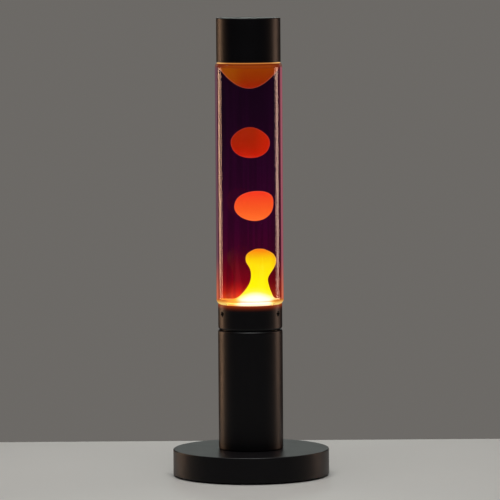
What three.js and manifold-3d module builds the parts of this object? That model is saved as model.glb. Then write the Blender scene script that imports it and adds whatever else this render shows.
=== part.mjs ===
// A tall cylindrical lava lamp: a weighted round foot, a black column that holds the bulb,
// a wax-and-liquid bottle that stands in the column's collar, and a cap that covers the bottle's neck.
// Millimetres, +Z up. The origin is the middle of the foot, on the surface the lamp stands on.
// The front of the lamp faces -Y, and the cord inlet is at the back, on +Y.

import * as THREE from "three";
import { mergeVertices } from "three/addons/utils/BufferGeometryUtils.js";
import Module from "manifold-3d";

const wasm = await Module();
wasm.setup();

// ---- Driving dimensions ----

const TOTAL_HEIGHT = 390;
const FOOT_RADIUS = 66.5; // the round foot disc
const COLUMN_RADIUS = 27.5;
const COLLAR_RADIUS = 27.3;
const CAP_RADIUS = 27.3;
const BOTTLE_RADIUS = 28.6;

const DISC_BOTTOM = 1.3; // the rubber feet carry the disc this far off the table
const DISC_TOP = 22.8;
const SEAM_Z = 125.25; // the groove between column and collar
const RIM_Z = 147; // the collar's rim, which the bottle stands in
const SHOULDER_Z = 352.3; // the bottle's flat shoulder, which the cap stands on

const GAP = 0.3; // between pieces that fit inside one another
const SEAM_GAP = 0.3;

const LARGE = 32; // segments round a large, medium, small and tiny piece
const MEDIUM = 20;
const SMALL = 12;
const TINY = 8;

const FRONT = -Math.PI / 2; // the direction that faces the user, measured from +X

// Wax shapes, which the liquid is cut around.
const BLOB_UPPER = { x: 1.1, z: 284.5, radius: 12.9, height: 26.1, down: 12, up: 30 };
const BLOB_LOWER = { x: 3.1, z: 230.6, radius: 12.6, height: 25.3, down: 18, up: 12 };
const DOME = { radius: 17.8, middle: 348.1, top: 349.6 };

// The bulb is a small reflector lamp on a 14 mm screw thread.
const BULB_TIP_Z = 51.2;
const BULB_TOP_Z = 117;

// ---- Materials ----

const colours = {
  black_paint: [0x14120f, 0.42, 0.3],
  glass: [0xf4f2ee, 0.05, 0.0],
  liquid: [0x3a0a34, 0.1, 0.0],
  wax_hot: [0xffc21c, 0.5, 0.0],
  wax_warm: [0xe8401c, 0.5, 0.0],
  wax_cool: [0xa8420c, 0.5, 0.0],
  steel: [0xa8a8a6, 0.35, 0.9],
  black_steel: [0x1c1c1c, 0.45, 0.8],
  brass: [0xc8a050, 0.3, 0.95],
  ceramic: [0xe8e4da, 0.55, 0.0],
  black_plastic: [0x181818, 0.5, 0.0],
  white_plastic: [0xdeded8, 0.5, 0.0],
  rubber: [0x202020, 0.85, 0.0],
  silicone: [0xd8d4cc, 0.6, 0.0],
  bulb_glass: [0xd8d8d4, 0.15, 0.1],
  wire_brown: [0x5a3420, 0.6, 0.0],
  wire_blue: [0x2a4a90, 0.6, 0.0],
  wire_green: [0x3c8a3a, 0.6, 0.0],
};

const materials = Object.fromEntries(
  Object.entries(colours).map(([name, [color, roughness, metalness]]) => [
    name,
    new THREE.MeshStandardMaterial({ name, color, roughness, metalness }),
  ]),
);

// ---- Shaping helpers ----

// Points of an arc in a profile, from one angle to another in degrees.
function arc(centreR, centreZ, radius, from, to, steps) {
  const points = [];
  for (let i = 0; i <= steps; i++) {
    const angle = THREE.MathUtils.degToRad(from + ((to - from) * i) / steps);
    points.push([centreR + radius * Math.cos(angle), centreZ + radius * Math.sin(angle)]);
  }
  return points;
}

// A solid turned about Z. The profile is a list of [radius, height] that closes on itself,
// or that starts and ends on the axis.
function turned(profile, segments) {
  const points = profile.map(([r, z]) => new THREE.Vector2(r, z));
  const [first, last] = [points[0], points.at(-1)];
  if (first.x > 0 || last.x > 0) points.push(first.clone());
  if (THREE.ShapeUtils.area(points) < 0) points.reverse();
  const geometry = new THREE.LatheGeometry(points, segments);
  geometry.rotateX(Math.PI / 2);
  return geometry;
}

// A flat ring, or a disc when the inner radius is 0.
function ring(outer, inner, bottom, top, segments) {
  if (inner === 0) return turned([[0, bottom], [outer, bottom], [outer, top], [0, top]], segments);
  return turned([[inner, bottom], [outer, bottom], [outer, top], [inner, top]], segments);
}

// A round bar that stands on Z, away from the axis.
function post(radius, bottom, top, x, y, segments) {
  return ring(radius, 0, bottom, top, segments).translate(x, y, 0);
}

// A round bar that points outwards at an angle round Z, between two distances from the axis.
function spoke(radius, inner, outer, angle, z, segments) {
  const bar = ring(radius, 0, inner, outer, segments);
  return bar.rotateY(Math.PI / 2).rotateZ(angle).translate(0, 0, z);
}

// A hexagonal prism that stands on Z, measured across its flats.
function hexagon(acrossFlats, bottom, top) {
  return ring(acrossFlats / Math.sqrt(3), 0, bottom, top, 6);
}

function block(sizeX, sizeY, sizeZ, x, y, z) {
  return new THREE.BoxGeometry(sizeX, sizeY, sizeZ).translate(x, y, z);
}

// A tube of even thickness along a smooth route.
function wire(route, radius, steps, sides) {
  const path = new THREE.CatmullRomCurve3(route.map((p) => new THREE.Vector3(...p)));
  const section = new THREE.Shape();
  section.absarc(0, 0, radius, 0, 2 * Math.PI);
  return new THREE.ExtrudeGeometry(section, {
    extrudePath: path,
    steps,
    curveSegments: sides,
    bevelEnabled: false,
  });
}

// A solid through level rings, each { z, x, r }: its height, its centre's X and its radius.
function stacked(rings, segments) {
  const places = [];
  const faces = [];
  for (const { z, x, r } of rings) {
    for (let i = 0; i < segments; i++) {
      const angle = (2 * Math.PI * i) / segments;
      places.push(x + r * Math.cos(angle), r * Math.sin(angle), z);
    }
  }
  for (let level = 0; level < rings.length - 1; level++) {
    for (let i = 0; i < segments; i++) {
      const next = (i + 1) % segments;
      const [a, b] = [level * segments + i, level * segments + next];
      const [c, d] = [a + segments, b + segments];
      faces.push(a, b, d, a, d, c);
    }
  }
  const top = (rings.length - 1) * segments;
  for (let i = 1; i < segments - 1; i++) {
    faces.push(0, i + 1, i, top, top + i, top + i + 1);
  }
  const geometry = new THREE.BufferGeometry();
  geometry.setAttribute("position", new THREE.Float32BufferAttribute(places, 3));
  geometry.setIndex(faces);
  return geometry;
}

// A closed geometry as a solid that can be joined and cut.
function solid(geometry) {
  const bare = geometry.clone();
  bare.deleteAttribute("normal");
  bare.deleteAttribute("uv");
  const merged = mergeVertices(bare, 1e-4);
  return new wasm.Manifold(
    new wasm.Mesh({
      numProp: 3,
      vertProperties: merged.attributes.position.array,
      triVerts: new Uint32Array(merged.index.array),
    }),
  );
}

function geometryOf(made) {
  const { vertProperties, triVerts } = made.getMesh();
  const geometry = new THREE.BufferGeometry();
  geometry.setAttribute("position", new THREE.BufferAttribute(vertProperties, 3));
  geometry.setIndex(new THREE.BufferAttribute(triVerts, 1));
  geometry.computeVertexNormals();
  return geometry;
}

// One geometry with others joined to it and others cut out of it.
function carved(geometry, { join = [], cut = [] }) {
  let made = solid(geometry);
  for (const more of join) made = made.add(solid(more));
  for (const less of cut) made = made.subtract(solid(less));
  return geometryOf(made);
}

// The same thing at each of a number of even places round Z: calls make(angle, index).
function around(count, start, make) {
  return Array.from({ length: count }, (_, i) => make(start + (2 * Math.PI * i) / count, i));
}

const at = (radius, angle) => [radius * Math.cos(angle), radius * Math.sin(angle)];

// ---- The tree of pieces ----

const lamp = new THREE.Group();
const stand = new THREE.Group();
const bottle = new THREE.Group();
const cap = new THREE.Group();
const bulb = new THREE.Group();
lamp.add(stand, bottle, bulb);
bottle.add(cap);

function add(group, name, material, geometry) {
  const mesh = new THREE.Mesh(geometry, materials[material]);
  mesh.name = name;
  group.add(mesh);
  return mesh;
}

// ---- Foot: disc, weight, bottom plate, rubber feet, screws ----

const DISC_WALL = 2.7;
const DISC_TOP_THICKNESS = 2.5;
const DISC_EDGE = 0.8; // the bevel round the top edge
const DISC_UNDER = DISC_TOP - DISC_TOP_THICKNESS; // the underside of the disc's top wall
const PLATE_BOTTOM = 1.9;
const PLATE_TOP = 3.1;
const PLATE_RADIUS = FOOT_RADIUS - DISC_WALL - 0.5;
const BOSS_CIRCLE = 50;
const BOSS_RADIUS = 4;
const PAD_CIRCLE = 53;
const PAD_RADIUS = 6;
const COLUMN_SCREW_CIRCLE = 22;
const VENT_CIRCLE = 14.5;
const EARTH_PLACE = [11, -13]; // the earth screw's X and Y
const NIPPLE_RADIUS = 5;
const INLET_Z = 8.2;
const INLET_HOLE = 4.5;
const WEIGHT_BOTTOM = 12;

const bossPlaces = around(4, Math.PI / 4, (angle) => at(BOSS_CIRCLE, angle));
const padPlaces = around(4, 0, (angle) => at(PAD_CIRCLE, angle));
const columnScrewPlaces = around(3, FRONT, (angle) => at(COLUMN_SCREW_CIRCLE, angle));

function footDisc() {
  const wallInside = FOOT_RADIUS - DISC_WALL;
  const shell = turned(
    [
      [FOOT_RADIUS, DISC_BOTTOM],
      [FOOT_RADIUS, DISC_TOP - DISC_EDGE],
      [FOOT_RADIUS - DISC_EDGE, DISC_TOP],
      [NIPPLE_RADIUS + GAP, DISC_TOP],
      [NIPPLE_RADIUS + GAP, DISC_UNDER],
      [wallInside, DISC_UNDER],
      [wallInside, DISC_BOTTOM],
    ],
    LARGE,
  );
  const bosses = bossPlaces.map(([x, y]) => post(BOSS_RADIUS, PLATE_TOP, DISC_UNDER + 1, x, y, SMALL));
  const bossHoles = bossPlaces.map(([x, y]) => post(1.5, 0, 12, x, y, TINY));
  const columnHoles = columnScrewPlaces.map(([x, y]) => post(2.2, 15, 30, x, y, TINY));
  const vents = around(4, 0, (angle) => post(3.2, 15, 30, ...at(VENT_CIRCLE, angle), TINY));
  const inlet = spoke(INLET_HOLE, 50, 80, -FRONT, INLET_Z, SMALL);
  const inletRecess = spoke(6.2, FOOT_RADIUS - 1.4, 80, -FRONT, INLET_Z, SMALL);
  const earthHole = post(1.7, 15, 22, ...EARTH_PLACE, TINY);
  return carved(shell, {
    join: bosses,
    cut: [...bossHoles, ...columnHoles, ...vents, inlet, inletRecess, earthHole],
  });
}

function weight() {
  const holes = bossPlaces.map(([x, y]) => post(BOSS_RADIUS + 0.5, 0, 30, x, y, SMALL));
  return carved(ring(60.4, 29, WEIGHT_BOTTOM, DISC_UNDER - GAP, LARGE), { cut: holes });
}

function bottomPlate() {
  const holes = bossPlaces.map(([x, y]) => post(1.7, 0, 6, x, y, TINY));
  return carved(ring(PLATE_RADIUS, 0, PLATE_BOTTOM, PLATE_TOP, LARGE), { cut: holes });
}

// A pan-head screw that points up from a head at the bottom.
function screw(headRadius, headBottom, seat, shankRadius, tip) {
  const slot = block(headRadius * 1.3, 0.7, 0.9, 0, 0, headBottom);
  const body = turned(
    [
      [0, headBottom],
      [headRadius * 0.8, headBottom],
      [headRadius, headBottom + 0.5],
      [headRadius, seat],
      [shankRadius, seat],
      [shankRadius, tip - 1],
      [0, tip],
    ],
    TINY,
  );
  return carved(body, { cut: [slot] });
}

// A rubber grommet with a flange on each side of the foot's wall.
function grommet() {
  const outside = FOOT_RADIUS - 0.1;
  const recess = FOOT_RADIUS - 1.4 + 0.3;
  const inside = FOOT_RADIUS - DISC_WALL - GAP - 0.3;
  const bore = 3.2;
  const profile = [
    [bore, inside - 1.2],
    [5, inside - 1.2],
    [5, inside],
    [INLET_HOLE - GAP, inside],
    [INLET_HOLE - GAP, recess],
    [5.7, recess],
    [5.2, outside],
    [bore, outside],
  ];
  return turned(profile, SMALL).rotateY(Math.PI / 2).rotateZ(-FRONT).translate(0, 0, INLET_Z);
}

add(stand, "foot_disc", "black_paint", footDisc());
add(stand, "foot_weight", "steel", weight());
add(stand, "bottom_plate", "black_steel", bottomPlate());
add(stand, "cord_grommet", "rubber", grommet());
bossPlaces.forEach(([x, y], i) => {
  const plateScrew = screw(2.8, 0.6, PLATE_BOTTOM, 1.2, 10).translate(x, y, 0);
  add(stand, `plate_screw_${i + 1}`, "black_steel", plateScrew);
});
padPlaces.forEach(([x, y], i) =>
  add(stand, `rubber_foot_${i + 1}`, "rubber", post(PAD_RADIUS, 0, PLATE_BOTTOM, x, y, SMALL)),
);

// ---- Column, its screws, and the collar that holds the bottle ----

const COLUMN_BORE = 25;
const COLUMN_FLANGE = 18.5; // the inner radius of the flange at the column's foot
const COLUMN_ROUND = 2;
const COLLAR_BORE = 24;
const COLLAR_LEDGE_Z = RIM_Z - 2.7;
const COLLAR_LEDGE_RADIUS = 25.9;
const GRUB_Z = RIM_Z - 7.8;
const columnTop = SEAM_Z - SEAM_GAP / 2;
const collarBottom = SEAM_Z + SEAM_GAP / 2;
const grubAngles = around(3, FRONT + Math.PI / 3, (angle) => angle);

function column() {
  const flangeTop = DISC_TOP + 5;
  const tube = turned(
    [
      ...arc(COLUMN_RADIUS - 1.2, DISC_TOP + 1.2, 1.2, -90, 0, 2),
      ...arc(COLUMN_RADIUS - COLUMN_ROUND, columnTop - COLUMN_ROUND, COLUMN_ROUND, 0, 90, 3),
      [COLUMN_BORE, columnTop],
      [COLUMN_BORE, flangeTop],
      [COLUMN_FLANGE, flangeTop],
      [COLUMN_FLANGE, DISC_TOP],
    ],
    LARGE,
  );
  const holes = columnScrewPlaces.map(([x, y]) => post(2.1, 10, flangeTop + 5, x, y, TINY));
  return carved(tube, { cut: holes });
}

function collar() {
  const band = turned(
    [
      [COLLAR_BORE, collarBottom],
      ...arc(COLLAR_RADIUS - COLUMN_ROUND, collarBottom + COLUMN_ROUND, COLUMN_ROUND, -90, 0, 3),
      [COLLAR_RADIUS, RIM_Z - 0.5],
      [COLLAR_RADIUS - 0.4, RIM_Z],
      [COLLAR_LEDGE_RADIUS + 0.3, RIM_Z],
      [COLLAR_LEDGE_RADIUS, RIM_Z - 0.4],
      [COLLAR_LEDGE_RADIUS, COLLAR_LEDGE_Z],
      [COLLAR_BORE, COLLAR_LEDGE_Z],
    ],
    LARGE,
  );
  const holes = grubAngles.map((angle) => spoke(2.3, 15, 40, angle, GRUB_Z, SMALL));
  return carved(band, { cut: holes });
}

// The thin sleeve inside, which joins the collar to the column.
function joinerSleeve() {
  const bottom = 100;
  const top = COLLAR_LEDGE_Z - GAP;
  const wide = COLUMN_BORE - GAP;
  const narrow = COLLAR_BORE - GAP;
  return turned(
    [
      [wide - 1, bottom],
      [wide, bottom],
      [wide, columnTop],
      [narrow, columnTop],
      [narrow, top],
      [narrow - 1, top],
      [narrow - 1, columnTop - 1],
      [wide - 1, columnTop - 1],
    ],
    LARGE,
  );
}

// A socket set screw, sunk below the collar's face.
function grubScrew(angle) {
  const bar = ring(1.95, 0, COLLAR_BORE - 0.1, COLLAR_RADIUS - 0.7, TINY);
  const socket = hexagon(2, COLLAR_RADIUS - 2.3, COLLAR_RADIUS + 1);
  return carved(bar, { cut: [socket] }).rotateY(Math.PI / 2).rotateZ(angle).translate(0, 0, GRUB_Z);
}

add(stand, "column", "black_paint", column());
add(stand, "collar", "black_paint", collar());
add(stand, "joiner_sleeve", "steel", joinerSleeve());
add(stand, "seat_gasket", "silicone", ring(25.6, 24.2, COLLAR_LEDGE_Z, RIM_Z - 0.8, LARGE));
grubAngles.forEach((angle, i) => add(stand, `grub_screw_${i + 1}`, "black_steel", grubScrew(angle)));
columnScrewPlaces.forEach(([x, y], i) => {
  const columnScrew = screw(3.6, DISC_UNDER - 2.4, DISC_UNDER, 1.7, 27).translate(x, y, 0);
  add(stand, `column_screw_${i + 1}`, "steel", columnScrew);
});

// ---- Lampholder, on a threaded tube through the foot ----

const NIPPLE_BOTTOM = 12;
const HOLDER_BOTTOM = 34;
const HOLDER_JOIN = 45; // where the holder's outer sleeve meets its base
const HOLDER_TOP = 69;
const HOLDER_RADIUS = 12.6;
const HOLDER_WALL = 1.2;
const NUT_HEIGHT = 4;

function nut(bottom, top) {
  return carved(hexagon(14, bottom, top), { cut: [post(NIPPLE_RADIUS + GAP, 0, 60, 0, 0, SMALL)] });
}

function holderBase() {
  const inside = HOLDER_RADIUS - HOLDER_WALL;
  return turned(
    [
      [NIPPLE_RADIUS + GAP, HOLDER_BOTTOM],
      [HOLDER_RADIUS - 1.5, HOLDER_BOTTOM],
      [HOLDER_RADIUS, HOLDER_BOTTOM + 1.5],
      [HOLDER_RADIUS, HOLDER_JOIN],
      [inside, HOLDER_JOIN],
      [inside, HOLDER_BOTTOM + 2],
      [NIPPLE_RADIUS + GAP, HOLDER_BOTTOM + 2],
    ],
    MEDIUM,
  );
}

function holderSleeve() {
  const inside = HOLDER_RADIUS - HOLDER_WALL;
  const mouth = 8.7;
  return turned(
    [
      [inside, HOLDER_JOIN + GAP],
      [HOLDER_RADIUS, HOLDER_JOIN + GAP],
      [HOLDER_RADIUS, HOLDER_TOP],
      [mouth, HOLDER_TOP],
      [mouth, HOLDER_TOP - 1.6],
      [inside, HOLDER_TOP - 1.6],
    ],
    MEDIUM,
  );
}

// The ceramic core: a cup for the brass thread, with two wire holes in its floor.
function holderCore() {
  const cup = turned(
    [
      [0, 44],
      [11, 44],
      [11, 67],
      [8, 67],
      [8, 47.5],
      [0, 47.5],
    ],
    MEDIUM,
  );
  return carved(cup, { cut: [-4.5, 4.5].map((x) => post(1.3, 40, 50, x, 0, TINY)) });
}

// The sprung tongue under the bulb's tip.
function holderContact() {
  const outline = new THREE.Shape();
  outline.moveTo(-6, 47.7);
  outline.lineTo(-1, 47.7);
  outline.lineTo(3, 50.3);
  outline.lineTo(5, 50.3);
  outline.lineTo(5, 50.8);
  outline.lineTo(2.8, 50.8);
  outline.lineTo(-1.2, 48.2);
  outline.lineTo(-6, 48.2);
  const strip = new THREE.ExtrudeGeometry(outline, { depth: 3.6, bevelEnabled: false });
  return strip.rotateX(Math.PI / 2).translate(0, 1.8, 0);
}

const threadedTube = ring(NIPPLE_RADIUS, 3.6, NIPPLE_BOTTOM, HOLDER_BOTTOM + 3.5, SMALL);
add(stand, "threaded_tube", "steel", threadedTube);
add(stand, "nut_lower", "steel", nut(DISC_UNDER - NUT_HEIGHT, DISC_UNDER));
add(stand, "nut_upper", "steel", nut(DISC_TOP, DISC_TOP + NUT_HEIGHT));
add(stand, "holder_base", "black_plastic", holderBase());
add(stand, "holder_sleeve", "black_plastic", holderSleeve());
add(stand, "holder_core", "ceramic", holderCore());
add(stand, "holder_thread", "brass", ring(7.7, 7.3, 48.6, 66.5, MEDIUM));
add(stand, "holder_contact", "brass", holderContact());

// ---- Wiring inside the foot ----

const BLOCK_Y = 15;
const BLOCK_TOP = PLATE_TOP + 8;
const TAG_BOTTOM = DISC_UNDER - 0.8;

function terminalBlock() {
  const base = block(20, 11, 4, 0, BLOCK_Y, PLATE_TOP + 2);
  const barrels = [-6.4, 0, 6.4].map((x) =>
    ring(2.8, 0, -8, 8, TINY).rotateX(Math.PI / 2).translate(x, BLOCK_Y, PLATE_TOP + 4.8),
  );
  const bores = [-6.4, 0, 6.4].map((x) =>
    ring(1.3, 0, -10, 10, TINY).rotateX(Math.PI / 2).translate(x, BLOCK_Y, PLATE_TOP + 4.8),
  );
  return carved(base, { join: barrels, cut: bores });
}

// A supply wire, from the terminal block up through the threaded tube to the lampholder.
function supplyWire(side) {
  return wire(
    [
      [side * 6.4, BLOCK_Y - 8.4, BLOCK_TOP - 3.2],
      [side * 4, 4, 7.6],
      [side * 1.6, 0.6, 9.6],
      [side * 1.4, 0, 14],
      [side * 1.4, 0, 26],
      [side * 1.6, 0, 37],
      [side * 4.2, 0, 41.5],
      [side * 4.5, 0, 43.7],
    ],
    0.9,
    24,
    3,
  );
}

function earthWire() {
  return wire(
    [
      [0, BLOCK_Y + 8.4, BLOCK_TOP - 3.2],
      [4, 27, 7.4],
      [16, 22, 7],
      [24, 6, 7.6],
      [21, -7, 11],
      [14.4, -12, 17.2],
    ],
    0.9,
    20,
    3,
  );
}

add(stand, "terminal_block", "white_plastic", terminalBlock());
add(stand, "live_wire", "wire_brown", supplyWire(-1));
add(stand, "neutral_wire", "wire_blue", supplyWire(1));
add(stand, "earth_wire", "wire_green", earthWire());
const earthTag = ring(3.4, 1.7, TAG_BOTTOM, DISC_UNDER, SMALL).translate(...EARTH_PLACE, 0);
const earthScrew = screw(2.9, TAG_BOTTOM - 2, TAG_BOTTOM, 1.3, 22).translate(...EARTH_PLACE, 0);
add(stand, "earth_tag", "steel", earthTag);
add(stand, "earth_screw", "steel", earthScrew);

// ---- Bulb ----

bulb.position.z = BULB_TIP_Z;
const bulbTop = BULB_TOP_Z - BULB_TIP_Z;
const CAP_START = 3.8; // the bulb's own metal cap, above its black insulator
const CAP_END = 20.8;
const BULB_RADIUS = 19.5;

function bulbCap() {
  const ridges = 5;
  const pitch = 2.82;
  const outside = [[5.8, CAP_START]];
  for (let i = 0; i < ridges; i++) {
    outside.push([6.3, CAP_START + 0.4 + pitch * i], [6.8, CAP_START + 1.8 + pitch * i]);
  }
  return turned(
    [
      ...outside,
      [6.3, CAP_START + 15],
      [6.3, CAP_END],
      [6, CAP_END],
      [6, CAP_START + 0.8],
      [5.4, CAP_START],
    ],
    SMALL,
  );
}

// The glass: a thin reflector shell that flares from a narrow neck, open where it enters the cap.
function bulbGlass() {
  const wall = 0.8;
  const faceStart = 50; // above this, the wall's thickness lies downward as well as inward
  const outside = [
    [5.6, 16],
    [5.6, 21.2],
    [7.2, 23],
    [10.5, 28],
    [15, 36],
    [18.4, 45],
    ...arc(BULB_RADIUS - 5, 53, 5, 0, 60, 3),
    [10, bulbTop - 2.4],
    [0, bulbTop],
  ];
  const inside = outside.map(([r, z]) => [Math.max(0, r - wall), z > faceStart ? z - wall : z]);
  return turned([...outside, ...inside.reverse()], SMALL);
}

function bulbFilament() {
  const loop = [
    [-2.6, 0, 33.4],
    [-3.4, 0, 39],
    [-2.6, 0, 43.4],
    [0, 0, 44.4],
    [2.6, 0, 43.4],
    [3.4, 0, 39],
    [2.6, 0, 33.4],
  ];
  return wire(loop, 0.4, 16, 2);
}

const tipProfile = [[0, 0], [1.6, 0.3], [2.2, 1.4], [0, 1.4]];
const insulatorProfile = [[0, 1.4], [2.4, 1.4], [5.2, 3.4], [5.2, 4.4], [0, 4.4]];
const stemProfile = [[0, 14], [4.4, 14], [4.4, 16], [3.6, 28], [3.4, 33], [0, 33]];
add(bulb, "bulb_tip", "steel", turned(tipProfile, TINY));
add(bulb, "bulb_insulator", "black_plastic", turned(insulatorProfile, SMALL));
add(bulb, "bulb_cap", "brass", bulbCap());
add(bulb, "bulb_glass", "bulb_glass", bulbGlass());
add(bulb, "bulb_stem", "glass", turned(stemProfile, TINY));
add(bulb, "bulb_filament", "steel", bulbFilament());

// ---- Bottle: glass, closure, liquid and wax ----

const BOTTLE_WALL = 1.5;
const HEEL = 4; // the radius that the glass turns in by above the collar
const SHOULDER = 4;
const SPIGOT_RADIUS = 22; // the narrow foot of the bottle, inside the collar
const BOTTLE_BOTTOM = RIM_Z - 14.6;
const HEEL_Z = RIM_Z + 3.8;
const NECK_RADIUS = 13.2;
const NECK_BORE = 8.5;
const MOUTH_Z = 376;
const innerRadius = BOTTLE_RADIUS - BOTTLE_WALL;

function bottleGlass() {
  const shoulderStart = SHOULDER_Z - SHOULDER;
  const outside = [
    [0, BOTTLE_BOTTOM + 4],
    [8, BOTTLE_BOTTOM + 3.2],
    [15, BOTTLE_BOTTOM + 0.6],
    [17.4, BOTTLE_BOTTOM],
    ...arc(SPIGOT_RADIUS - 3.6, BOTTLE_BOTTOM + 3, 3, -60, 0, 2),
    [SPIGOT_RADIUS, RIM_Z - 2],
    [SPIGOT_RADIUS + 0.8, RIM_Z - 0.8],
    ...arc(BOTTLE_RADIUS - HEEL, HEEL_Z, HEEL, -90, 0, 4),
    ...arc(BOTTLE_RADIUS - SHOULDER, shoulderStart, SHOULDER, 0, 90, 3),
    [16.4, SHOULDER_Z + 3.6],
    [NECK_RADIUS, SHOULDER_Z + 7],
    [NECK_RADIUS - 1, SHOULDER_Z + 16],
    [NECK_RADIUS + 0.1, MOUTH_Z - 4],
    [NECK_RADIUS + 0.1, MOUTH_Z - 1.6],
    [NECK_RADIUS - 1.4, MOUTH_Z],
  ];
  const inside = [
    [NECK_BORE, MOUTH_Z],
    [NECK_BORE, SHOULDER_Z + 5],
    [14, SHOULDER_Z + 1.6],
    [23.9, SHOULDER_Z - 2.2],
    ...arc(innerRadius - 2.4, shoulderStart - 0.4, 2.4, 80, 0, 2),
    ...arc(innerRadius - 2.8, HEEL_Z, 2.8, 0, -90, 3),
    [20.6, RIM_Z + 1],
    [19.6, RIM_Z],
    [19.6, BOTTLE_BOTTOM + 5],
    [16.4, BOTTLE_BOTTOM + 3.4],
    [8, BOTTLE_BOTTOM + 6],
    [0, BOTTLE_BOTTOM + 6.8],
  ];
  return turned([...outside, ...inside], LARGE);
}

function crownCap() {
  return turned(
    [
      [0, MOUTH_Z + 1.5],
      [12.8, MOUTH_Z + 1.5],
      [14.4, MOUTH_Z + 0.6],
      [16.2, MOUTH_Z - 4.4],
      [15.7, MOUTH_Z - 4.4],
      [13.9, MOUTH_Z + 0.4],
      [12.7, MOUTH_Z + 0.95],
      [0, MOUTH_Z + 0.95],
    ],
    MEDIUM,
  );
}

// The wax at the bottom: a pool across the bottle, which rises off centre into a neck and a knob.
// Each key is [height above the rim, centre's X, radius], from the pool's surface to the knob's top.
const MOUND_KEYS = [
  [3.1, 0.6, 21],
  [4.0, 2.4, 14.6],
  [5.6, 4.0, 11.0],
  [8.9, 4.9, 8.8],
  [14.9, 6.0, 6.6],
  [21.9, 6.6, 5.3],
  [27.8, 7.2, 5.5],
  [32.0, 7.5, 7.7],
  [37.0, 7.5, 9.6],
  [42.0, 7.6, 8.6],
  [45.6, 7.7, 5.2],
];
const MOUND_TOP = 47.3;

function moundRings(extra) {
  const pool = [
    { z: RIM_Z - 7.2, x: 0, r: 19 },
    { z: RIM_Z + 0.2, x: 0, r: 18.9 },
    { z: RIM_Z + 1.4, x: 0, r: 20 },
    { z: RIM_Z + 1.8, x: 0, r: 23 },
    { z: RIM_Z + 2.4, x: 0, r: 25.6 },
    { z: RIM_Z + 2.8, x: 0, r: 25.6 },
  ];
  const rise = MOUND_KEYS.map(([z, x, r]) => ({ z: RIM_Z + z, x, r: r + extra }));
  return [...pool, ...rise, { z: RIM_Z + MOUND_TOP + extra, x: 7.7, r: 1.6 }];
}

function waxMound() {
  const coilSpace = ring(17.2, 10.8, RIM_Z - 9, RIM_Z - 1, MEDIUM);
  return carved(stacked(moundRings(0), MEDIUM), { cut: [coilSpace] });
}

// A drop of wax that floats free: its rings follow a circle, a little fuller on its upper side.
function drop({ x, z, radius, height }, lean) {
  const levels = 8;
  const rings = [];
  for (let i = 0; i <= levels; i++) {
    const angle = -Math.PI / 2 + (Math.PI * i) / levels;
    rings.push({
      z: z + (height / 2) * Math.sin(angle),
      x: x + lean * Math.sin(angle),
      r: Math.max(0.8, radius * Math.cos(angle)),
    });
  }
  return stacked(rings, MEDIUM);
}

function waxDome() {
  const bowl = arc(0, DOME.middle, DOME.radius, -90, 0, 6).map(([r, z]) => [Math.max(0, r), z]);
  return turned([...bowl, [17, DOME.top - 0.8], [16, DOME.top], [0, DOME.top]], MEDIUM);
}

// The liquid fills the bottle round the wax. It leaves each drop its whole travel, and a thin
// channel joins these spaces, so that none is sealed.
function liquid() {
  const clear = 0.4;
  const side = innerRadius - GAP;
  const top = SHOULDER_Z - 2.5;
  const fill = turned(
    [
      [0, RIM_Z + 3.7],
      [side - 0.8, RIM_Z + 3.7],
      [side, HEEL_Z + 1],
      [side, top - 2.4],
      [side - 2.4, top],
      [0, top],
    ],
    LARGE,
  );
  const travel = ({ x, z, radius, height, down, up }) => {
    const low = z - height / 2 - down - clear;
    const high = z + height / 2 + up + clear;
    const r = radius + 1;
    const lower = arc(0, low + r, r, -90, 0, 4).map(([a, b]) => [Math.max(0, a), b]);
    const upper = arc(0, high - r, r, 0, 90, 4).map(([a, b]) => [Math.max(0, a), b]);
    lower[0][1] -= 0.3;
    upper.at(-1)[1] += 0.3;
    return turned([...lower, ...upper], MEDIUM).translate(x, 0, 0);
  };
  const domeSpace = turned(
    [
      ...arc(0, DOME.middle, DOME.radius + 0.5, -90, 0, 6).map(([r, z]) => [Math.max(0, r), z]),
      [DOME.radius + 0.5, top + 5],
      [0, top + 5],
    ],
    MEDIUM,
  );
  return carved(fill, {
    cut: [
      stacked(moundRings(clear), MEDIUM),
      travel(BLOB_UPPER),
      travel(BLOB_LOWER),
      domeSpace,
      ring(1.6, 0, RIM_Z + 30, top, TINY),
    ],
  });
}

add(bottle, "glass_bottle", "glass", bottleGlass());
add(bottle, "crown_cap", "steel", crownCap());
add(bottle, "crown_seal", "white_plastic", ring(12.4, 0, MOUTH_Z, MOUTH_Z + 0.9, MEDIUM));
add(bottle, "liquid", "liquid", liquid());
add(bottle, "wax_mound", "wax_hot", waxMound());
add(bottle, "wax_dome", "wax_cool", waxDome());
add(bottle, "wax_drop_upper", "wax_warm", drop(BLOB_UPPER, 0));
add(bottle, "wax_drop_lower", "wax_warm", drop(BLOB_LOWER, 0.8));
const coil = new THREE.TorusGeometry(14, 2.5, 8, MEDIUM).translate(0, 0, RIM_Z - 4.2);
add(bottle, "wire_coil", "steel", coil);

// ---- Cap over the bottle's neck ----

cap.position.z = SHOULDER_Z + GAP;
const capHeight = TOTAL_HEIGHT - cap.position.z;
const CAP_WALL = 1.3;
const CAP_TOP_THICKNESS = 1.5;
const capInside = CAP_RADIUS - CAP_WALL;

function capShell() {
  const edge = 0.5;
  const under = capHeight - CAP_TOP_THICKNESS;
  return turned(
    [
      [0, capHeight],
      [CAP_RADIUS - edge, capHeight],
      [CAP_RADIUS, capHeight - edge],
      [CAP_RADIUS, 0],
      [capInside, 0],
      [capInside, under],
      [0, under],
    ],
    LARGE,
  );
}

// A moulded ring that centres the cap on the crown.
function capLocator() {
  return turned(
    [
      [17, 17],
      [18.2, 17],
      [18.2, 20],
      [capInside - GAP, 20],
      [capInside - GAP, 21.5],
      [17, 21.5],
    ],
    MEDIUM,
  );
}

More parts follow.
